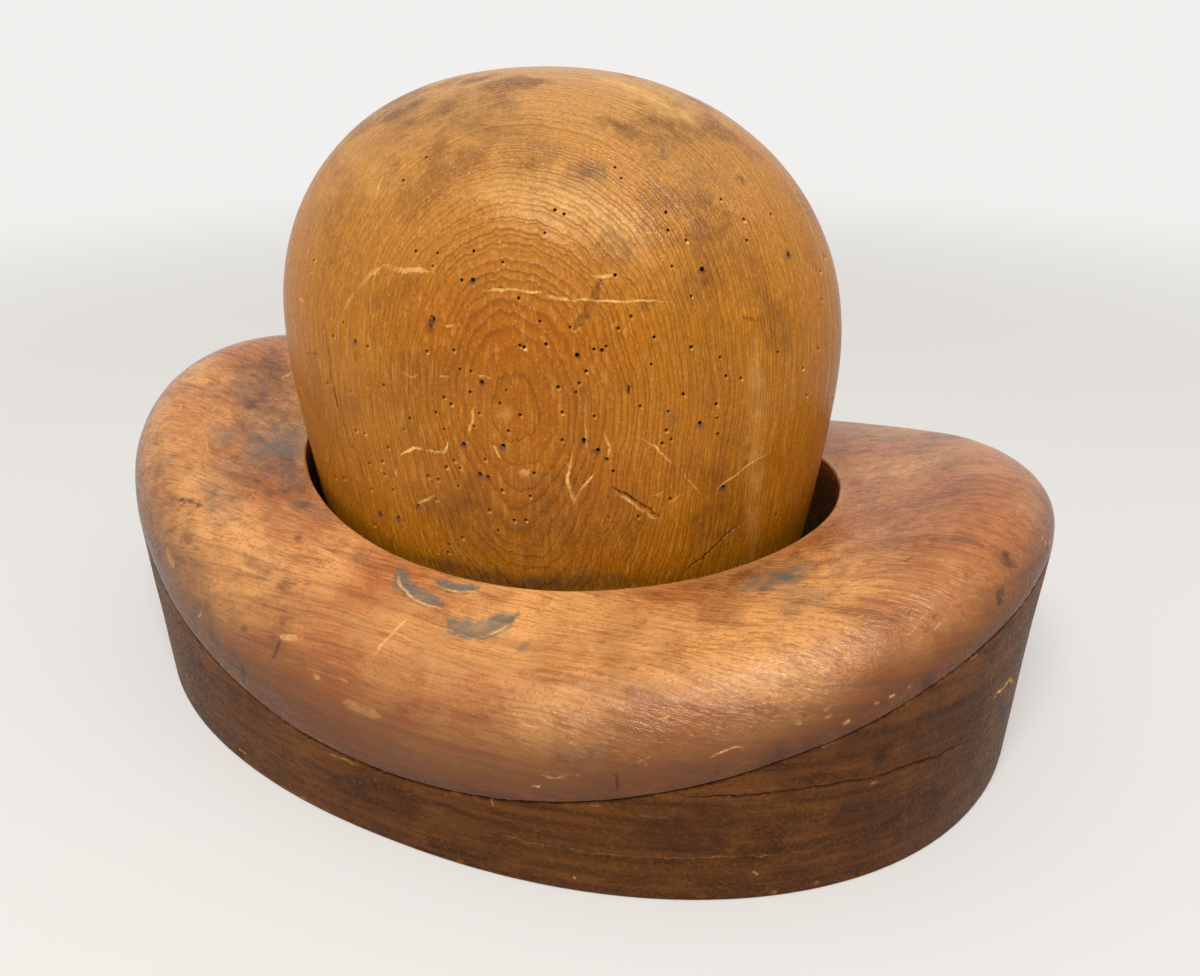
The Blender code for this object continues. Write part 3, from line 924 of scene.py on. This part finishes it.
# Scratches that show pale, as (path, half width in mm, depth in mm, strength). The bare wood is
# three quarters as wide as the scratch.
SCRATCH_SHARE = 0.75
PALE_SCRATCHES = [
    ([(592, 275), (603, 277), (614, 275)], 0.5, 0.15, 0.9),
    ([(560, 301), (590, 299), (615, 302), (645, 300), (669, 302)], 0.35, 0.12, 0.7),
    ([(484, 290), (510, 290), (542, 293)], 0.45, 0.10, 0.7),
    ([(547, 296), (569, 300)], 0.5, 0.12, 0.8),
    ([(344, 314), (354, 293), (369, 276), (384, 265)], 0.8, 0.05, 0.45),
    ([(384, 265), (402, 271), (416, 269), (431, 271)], 0.9, 0.05, 0.5),
    ([(386, 164), (380, 182), (374, 200)], 0.4, 0.08, 0.5),
    ([(560, 243), (571, 241)], 0.5, 0.10, 0.6),
    ([(401, 455), (413, 448), (434, 451), (445, 453), (448, 440)], 0.55, 0.12, 0.9),
    ([(396, 469), (398, 478)], 0.4, 0.10, 0.6),
    ([(493, 445), (500, 459)], 0.5, 0.12, 0.8),
    ([(416, 505), (425, 500), (434, 496)], 0.5, 0.10, 0.7),
    ([(474, 407), (472, 420), (467, 433)], 0.5, 0.08, 0.6),
    ([(638, 436), (655, 446), (672, 464)], 0.35, 0.12, 0.9),
    ([(683, 473), (692, 484), (702, 493)], 0.4, 0.10, 0.6),
    ([(717, 489), (747, 466), (769, 454)], 0.35, 0.10, 0.6),
    ([(572, 456), (567, 478), (573, 503)], 0.55, 0.12, 0.85),
    ([(573, 505), (580, 490), (594, 474)], 0.4, 0.10, 0.8),
    ([(605, 433), (610, 447), (608, 458)], 0.45, 0.08, 0.6),
    ([(586, 393), (585, 420), (587, 448)], 0.35, 0.06, 0.5),
    ([(478, 375), (492, 378)], 0.4, 0.08, 0.7),
    ([(445, 325), (455, 325)], 0.4, 0.08, 0.5),
    ([(380, 245), (372, 300), (371, 330)], 0.3, 0.04, 0.3),
    ([(438, 376), (450, 377)], 0.35, 0.06, 0.5),
    ([(400, 372), (411, 377), (420, 374)], 0.35, 0.06, 0.5),
    ([(655, 495), (664, 491)], 0.35, 0.06, 0.5),
    ([(668, 504), (682, 494)], 0.35, 0.06, 0.5),
    ([(315, 255), (318, 262)], 0.5, 0.08, 0.5),
    ([(300, 298), (306, 302)], 0.6, 0.08, 0.5),
]
for pixels, half_width_mm, depth_mm, strength in PALE_SCRATCHES:
    mark_crown(pixels, SCRATCH_SHARE * half_width_mm, depth_mm, bare=strength)

# Gouges and cracks that show dark, and the pale lip beside two of them
DARK_CUTS = [
    ([(601, 281), (592, 300), (584, 315), (574, 330)], 1.1, 0.45, 0.45),
    ([(647, 297), (644, 312)], 0.9, 0.30, 0.35),
    ([(742, 316), (755, 321)], 0.5, 0.25, 0.5),
    ([(613, 487), (630, 497), (645, 506), (660, 516)], 0.32, 0.60, 0.8),
    ([(744, 522), (729, 533), (711, 549), (697, 562), (685, 573)], 0.35, 0.70, 0.8),
    ([(628, 385), (628, 394)], 0.35, 0.40, 0.9),
    ([(327, 333), (331, 373), (337, 398), (347, 434), (360, 467), (367, 489)], 0.45, 0.25, 0.6),
    ([(434, 316), (431, 327)], 0.7, 0.50, 0.7),
    ([(305, 354), (320, 354)], 0.35, 0.10, 0.4),
]
for pixels, half_width_mm, depth_mm, strength in DARK_CUTS:
    mark_crown(pixels, half_width_mm, depth_mm, dirt=strength)
mark_crown([(614, 491), (630, 501), (659, 520)], 0.35, 0.05, bare=0.7)
mark_crown([(571, 332), (582, 328)], 0.4, 0.10, bare=0.6)

# Stains, halos and worn places, and two pale patches of painted sheen on the upper front
CROWN_STAINS = {
    "dirt": [
        ([(724, 212), (732, 226)], 3.0, 0.65), ([(702, 221)], 1.8, 0.5), ([(742, 181)], 1.6, 0.6),
        ([(575, 165), (605, 176)], 3.4, 0.30), ([(675, 175), (705, 200), (742, 239)], 4.5, 0.28),
        ([(774, 310), (785, 328)], 3.5, 0.35), ([(420, 120), (480, 105)], 7.0, 0.25),
        ([(360, 150), (400, 130)], 6.0, 0.2), ([(660, 275), (700, 300)], 7.0, 0.22),
        ([(420, 560), (520, 580), (640, 582)], 4.0, 0.3),
        ([(430, 510), (530, 530), (640, 520)], 16.0, 0.30),
        ([(700, 470), (740, 500), (720, 540)], 9.0, 0.25),
        ([(385, 120), (450, 105), (520, 120)], 9.0, 0.4), ([(596, 118), (632, 130)], 3.5, 0.45),
        ([(690, 215), (710, 250), (715, 300)], 7.0, 0.35), ([(560, 178), (600, 184)], 5.0, 0.3),
        ([(770, 300), (785, 350)], 6.0, 0.3), ([(470, 130), (540, 125)], 6.0, 0.25),
        ([(700, 215), (735, 245), (760, 300)], 6.0, 0.3), ([(500, 160), (560, 150)], 6.0, 0.3),
        ([(690, 520), (740, 530)], 9.0, 0.36), ([(360, 300), (420, 280)], 5.0, 0.18),
        ([(435, 330), (428, 324)], 1.6, 0.4), ([(357, 350), (357, 362)], 1.2, 0.4),
        ([(574, 478), (574, 492)], 1.5, 0.4), ([(790, 255), (786, 252)], 2.4, 0.35),
        ([(710, 320), (725, 400), (745, 470)], 13.0, 0.16), ([(655, 120), (710, 170)], 9.0, 0.2),
        ([(640, 200), (670, 190)], 5.0, 0.24),
    ],
    "grey": [
        ([(575, 165), (605, 176)], 3.4, 0.2), ([(662, 150), (662, 160)], 1.8, 0.5),
        ([(618, 238), (628, 260)], 2.0, 0.4), ([(600, 225), (622, 250)], 2.2, 0.3),
        ([(420, 560), (520, 580), (640, 582)], 4.0, 0.25), ([(672, 408), (670, 425)], 1.6, 0.4),
    ],
    "bare": [
        ([(757, 340), (757, 450), (752, 560)], 3.2, 0.18),
        ([(600, 78), (640, 90), (690, 120)], 8.0, 0.4),
        ([(320, 210), (345, 170), (390, 185)], 10.0, 0.12),
        # The patches from (480, 190) and from (540, 215) are painted sheen
        ([(480, 190), (560, 200), (640, 240)], 7.0, 0.3), ([(503, 402), (505, 420)], 3.0, 0.2),
        ([(523, 470), (528, 475)], 1.6, 0.4), ([(540, 215), (600, 228), (648, 262)], 6.0, 0.25),
    ],
}
mark_stains(mark_crown, CROWN_STAINS)

# Holes, scratches and stains on the hidden sides. Turns run clockwise here.
CROWN_HIDDEN_TURNS = (0.48, 0.98)
for _ in range(90):
    turn = boring.uniform(*CROWN_HIDDEN_TURNS)
    hole = crown_surface(np.array([turn]), np.array([boring.uniform(9, SIDE_END - 1)]))
    crown_marks.append(Mark(hole, boring.uniform(0.00036, 0.00065), 0.0013, {"hole": 1.0}))
scratch(crown_surface, crown_marks, boring, 40, CROWN_HIDDEN_TURNS, (8, SIDE_END - 2),
        (0.003, 0.016), 0.8, (0.0003, 0.0005), 0.0002, (0.4, 0.8))
for _ in range(14):
    turn = boring.uniform(*CROWN_HIDDEN_TURNS)
    patch = crown_surface(np.array([turn]), np.array([boring.uniform(6, SIDE_END)]))
    crown_marks.append(Mark(patch, boring.uniform(0.003, 0.010), 0.0, {"dirt": boring.uniform(0.2, 0.5)}))

# Tones by row: low is the wood near the brim block's rim, top the end grain, paler partly as
# painted sheen, and raw the underside
crown_zones = {
    "low": ((DOME_ROWS, DOME_ROWS + 6, DOME_ROWS + 10, UNDER_START), (0.0, 0.25, 1.0, 1.0)),
    "top": ((0, 10, 22, 30), (1.0, 0.9, 0.3, 0.0)),
    "raw": ((SIDE_END, UNDER_START, CROWN_ROWS), (0.0, 1.0, 1.0)),
}
crown_mesh = wooden_mesh(
    "crown_block_wood", crown_surface, CROWN_COLUMNS, CROWN_ROWS, crown_marks,
    closed=False, unevenness=crown_unevenness, zones=crown_zones,
)
crown_wood = put_in_scene("crown_block_wood", crown_mesh)

# Old varnished softwood: amber, with thin dark lines where the rasped surface cuts the growth rings.
# The rings lie in nearly flat sheets that face the front, so they close into nested ovals there.
AMBER = "#a25800"
HONEY = "#ae6a0a"
DEEP_AMBER = "#874b02"
LOW_AMBER = "#9f5f04"
RING_BROWN = "#703a04"
# Cream for pale scratches, and for painted sheen and highlights
SCRATCH_AND_HIGHLIGHT_CREAM = "#ecb868"
# The dome's tan is paler partly as painted sheen
TOP_TAN_AND_SHEEN = "#c48e4e"
TOP_DARK = "#633a22"
BARE_SOFTWOOD = "#e2a648"
GRIME_BROWN = "#45240f"
HALO_GREY = "#3b3a3c"
# Near black inside the holes is painted shade
HOLE_SHADE_BLACK = "#150c06"
RAW_SOFTWOOD = "#a87843"

# Each pattern is (whether it is turned across the grain, grains per metre along each axis, detail).
# The fibres are 0.03 mm wide and are drawn at 1 mm, so that they show.
CROWN_PATTERNS = {
    "jags": (False, (420.0, 420.0, 22.0), 4.0),
    "fibres": (False, (1000.0, 1000.0, 40.0), 3.0),
    "ticks": (False, (700.0, 700.0, 110.0), 2.0),
    "rubs": (True, (60.0, 1400.0, 900.0), 1.0),
    "drift": (False, (28.0, 28.0, 28.0), 2.0),
    "broken": (False, (50.0, 50.0, 30.0), 4.0),
    "broad": (False, (16.0, 16.0, 16.0), 2.0),
    "clouds": (False, (30.0, 30.0, 30.0), 5.0),
    "spots": (False, (170.0, 170.0, 170.0), 6.0),
    "pores": (False, (1000.0, 1000.0, 1000.0), 2.0),
}

# The sheets of the growth rings: the way they face and lie across the block, how hollow they are,
# and how their number grows with the depth in millimetres behind the foremost one
SHEET_FACING = (0.188, -0.981, 0.036)
SHEET_ACROSS = (0.981, 0.188, 0.0)
SHEET_CUP_PER_MM = 0.0045
SHEET_MIDDLE_MM = 10.0
FRONT_SHEET_MM = 88.6
LEAST_DEPTH_MM = 0.01
RINGS_AT_1_MM = 2.2
RING_GROWTH = 0.78

# The lines run jagged where they cross fibres and drift a little, more so with the root of the
# depth up to a most. Some years are wider than others, and lines fade here and there and to the left.
JAG = 0.45
DRIFT = 1.3
MOST_WOBBLE = 3.5
YEAR_SCALE = 0.45
UNEVEN_YEARS = 1.8
BREAKS = 2.2
CLEARER_PER_MM = 0.006
FAINT_AND_CLEAR = {"From Min": 0.9, "From Max": 2.1, "To Min": 0.15, "To Max": 1.0}

# Late wood darkens slowly over a year and ends at once
YEAR_TONES = ((0.0, 0.5), (0.05, 0.12), (0.12, 0.0), (0.45, 0.05), (0.74, 0.32), (0.92, 0.8), (1.0, 1.0))

# Turns the pattern of rubs aslant, and how far the deeper, paler wood reaches unevenly
RUB_TURN = (0.5, 0.3, 0.75)
AWAY_UNEVEN_MM = 40.0
CROWN_GLOSS = ("pores", 0.40, 0.62, 0.17, 0.32)
CROWN_RELIEF = (("fibres", 0.4), ("pores", 0.4))
CROWN_BUMP = (0.55, 0.0006)
CROWN_SPECULAR = 0.19

crown_finish, tree, shader = new_finish("varnished_softwood_beetle_bored")
place = add(tree, "TexCoord", {})["Object"]
turned = add(tree, "VectorRotate", {"Vector": place, "Rotation": RUB_TURN}, rotation_type="EULER_XYZ")[0]
patterns = lay_patterns(tree, place, turned, CROWN_PATTERNS)

facing = add(tree, "VectorMath", {0: place, 1: SHEET_FACING}, operation="DOT_PRODUCT")["Value"]
across = add(tree, "VectorMath", {0: place, 1: SHEET_ACROSS}, operation="DOT_PRODUCT")["Value"]
across = add(tree, "Math", {0: across, 1: 1000.0, 2: -SHEET_MIDDLE_MM}, operation="MULTIPLY_ADD")[0]
cup = add(tree, "Math", {0: across, 1: across}, operation="MULTIPLY")[0]
depth = add(tree, "Math", {0: facing, 1: -1000.0, 2: FRONT_SHEET_MM}, operation="MULTIPLY_ADD")[0]
depth = add(tree, "Math", {0: cup, 1: SHEET_CUP_PER_MM, 2: depth}, operation="MULTIPLY_ADD")[0]

sockets = {0: patterns["jags"], 1: JAG, 2: -(JAG + DRIFT) / 2}
wobble = add(tree, "Math", sockets, operation="MULTIPLY_ADD")[0]
wobble = add(tree, "Math", {0: patterns["drift"], 1: DRIFT, 2: wobble}, operation="MULTIPLY_ADD")[0]
root = add(tree, "Math", {0: depth, 1: LEAST_DEPTH_MM}, operation="MAXIMUM")[0]
root = add(tree, "Math", {0: root}, operation="SQRT")[0]
root = add(tree, "Math", {0: root, 1: MOST_WOBBLE}, operation="MINIMUM")[0]
uneven = add(tree, "Math", {0: wobble, 1: root, 2: depth}, operation="MULTIPLY_ADD")[0]
uneven = add(tree, "Math", {0: uneven, 1: LEAST_DEPTH_MM}, operation="MAXIMUM")[0]

count = add(tree, "Math", {0: uneven, 1: RING_GROWTH}, operation="POWER")[0]
count = add(tree, "Math", {0: count, 1: RINGS_AT_1_MM}, operation="MULTIPLY")[0]
sockets = {"W": count, "Scale": YEAR_SCALE, "Detail": 1.0}
years = add(tree, "TexNoise", sockets, noise_dimensions="1D")["Fac"]
count = add(tree, "Math", {0: years, 1: UNEVEN_YEARS, 2: count}, operation="MULTIPLY_ADD")[0]
part_of_year = add(tree, "Math", {0: count}, operation="FRACT")[0]
year = add(tree, "Math", {0: count}, operation="FLOOR")[0]
thick = add(tree, "TexWhiteNoise", {"W": year}, noise_dimensions="1D")["Value"]
strong = add(tree, "Math", {0: patterns["broken"], 1: BREAKS, 2: thick}, operation="MULTIPLY_ADD")[0]
strong = add(tree, "Math", {0: across, 1: CLEARER_PER_MM, 2: strong}, operation="MULTIPLY_ADD")[0]
strong = add(tree, "MapRange", {"Value": strong, **FAINT_AND_CLEAR})[0]
late_wood = add(tree, "ValToRGB", {0: part_of_year})[0]
ramp = tree.nodes[-1].color_ramp
for n, (position, level) in enumerate(YEAR_TONES):
    stop = ramp.elements[0] if n == 0 else ramp.elements.new(position)
    stop.color = (level, level, level, 1.0)
patterns["lines"] = add(tree, "Math", {0: late_wood, 1: strong}, operation="MULTIPLY")[0]

for zone in ("top", "low"):
    patterns[zone] = add(tree, "Attribute", {}, attribute_name=zone)["Fac"]
stained = add(tree, "MapRange", {"Value": patterns["clouds"], "From Min": 0.51, "From Max": 0.60})[0]
patterns["stained"] = add(tree, "Math", {0: stained, 1: patterns["top"]}, operation="MULTIPLY")[0]
sockets = {0: patterns["broad"], 1: AWAY_UNEVEN_MM, 2: depth}
patterns["away"] = add(tree, "Math", sockets, operation="MULTIPLY_ADD")[0]
CROWN_TONES = (
    ("away", 20.0, 44.0, 1.00, HONEY),
    ("top", 0.00, 1.00, 1.00, TOP_TAN_AND_SHEEN),
    ("stained", 0.00, 1.00, 0.75, TOP_DARK),
    ("low", 0.00, 1.00, 1.00, LOW_AMBER),
    ("clouds", 0.53, 0.66, 0.45, DEEP_AMBER),
    ("fibres", 0.52, 0.68, 0.35, DEEP_AMBER),
    ("fibres", 0.46, 0.32, 0.15, BARE_SOFTWOOD),
    ("pores", 0.53, 0.68, 0.22, RING_BROWN),
    ("pores", 0.46, 0.32, 0.16, BARE_SOFTWOOD),
    ("ticks", 0.56, 0.70, 0.24, BARE_SOFTWOOD),
    ("ticks", 0.42, 0.30, 0.20, RING_BROWN),
    ("lines", 0.00, 1.00, 0.62, RING_BROWN),
    ("rubs", 0.70, 0.78, 0.45, BARE_SOFTWOOD),
)
CROWN_MARK_TONES = (
    ("raw", 0.3, 0.85, RAW_SOFTWOOD),
    ("dirt", 3.0, 0.85, GRIME_BROWN),
    ("grey", 3.0, 0.80, HALO_GREY),
    ("bare", 3.5, 0.72, SCRATCH_AND_HIGHLIGHT_CREAM),
    ("hole", 0.2, 1.00, HOLE_SHADE_BLACK),
)
colour = lay_tones(tree, linear(AMBER), patterns, CROWN_TONES)
colour = lay_marks(tree, colour, patterns, CROWN_MARK_TONES)
finish_wood(
    tree, shader, colour, patterns, CROWN_GLOSS, late_wood, CROWN_RELIEF, CROWN_BUMP, CROWN_SPECULAR
)
crown_mesh.materials.append(crown_finish)
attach(crown_wood, "crown")
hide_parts("crown_block")

# The bench is a plain pale sheet of studio paper. Near the blocks it takes their shadow, and further
# out it fades into the pale background.
PAPER = "#dedbd7"
BACKGROUND = "#f1f0ee"
PAPER_RADIUS = 3.0
PAPER_CORNERS = 64
FADE_START = 0.35
FADE_END = 1.2


def seen_rays(tree):
    """1 for the rays that show the background itself: to the camera, in gloss or through glass."""
    rays = add(tree, "LightPath", {})
    seen = add(tree, "Math", {0: rays["Is Camera Ray"], 1: rays["Is Glossy Ray"]}, operation="MAXIMUM")[0]
    return add(tree, "Math", {0: seen, 1: rays["Is Transmission Ray"]}, operation="MAXIMUM")[0]


paper_mesh = bpy.data.meshes.new("studio_paper")
turns = np.arange(PAPER_CORNERS) * 2 * math.pi / PAPER_CORNERS
corners = [(math.cos(a) * PAPER_RADIUS, math.sin(a) * PAPER_RADIUS, 0.0) for a in turns]
paper_mesh.from_pydata(corners, [], [list(range(PAPER_CORNERS))])
paper = put_in_scene("studio_paper", paper_mesh)

matt_paper, tree, shader = new_finish("matt_studio_paper")
shader.inputs["Base Color"].default_value = linear(PAPER)
shader.inputs["Roughness"].default_value = 0.9
shader.inputs["Specular IOR Level"].default_value = 0.2
place = add(tree, "TexCoord", {})["Object"]
distance = add(tree, "VectorMath", {0: place}, operation="LENGTH")["Value"]
sockets = {"Value": distance, "From Min": FADE_START, "From Max": FADE_END}
fade = add(tree, "MapRange", sockets, interpolation_type="SMOOTHSTEP")[0]
fade = add(tree, "Math", {0: fade, 1: seen_rays(tree)}, operation="MULTIPLY")[0]
glow = add(tree, "Emission", {"Color": linear(BACKGROUND), "Strength": 1.0})[0]
mixed = add(tree, "MixShader", {0: fade, 1: shader.outputs[0], 2: glow})[0]
tree.links.new(mixed, tree.nodes["Material Output"].inputs["Surface"])
paper_mesh.materials.append(matt_paper)

# One wide soft lamp above and in front of the blocks, as a window would light them, and an even
# pale room round them.
LAMP_FROM = Vector((0.50, -1.35, 2.20))
LAMP_TO = Vector((0.0, 0.0, 0.09))
LAMP_WIDTH = 1.9
LAMP_HEIGHT = 0.30
LAMP_WATTS = 62.0
ROOM_LEVEL = 0.54

lamp = bpy.data.lights.new("soft_lamp", "AREA")
lamp.shape = "RECTANGLE"
lamp.size = LAMP_WIDTH
lamp.size_y = LAMP_HEIGHT
lamp.energy = LAMP_WATTS
lamp_stand = put_in_scene("soft_lamp", lamp)
lamp_stand.location = LAMP_FROM
lamp_stand.rotation_euler = (LAMP_TO - LAMP_FROM).to_track_quat("-Z", "Y").to_euler()

room = bpy.data.worlds.new("pale_room")
room.use_nodes = True
tree = room.node_tree
background = tree.nodes["Background"]
level = add(tree, "MapRange", {"Value": seen_rays(tree), "To Min": ROOM_LEVEL, "To Max": 1.0})[0]
background.inputs["Color"].default_value = linear(BACKGROUND)
tree.links.new(level, background.inputs["Strength"])
bpy.context.scene.world = room
bpy.context.scene.view_settings.view_transform = "Standard"
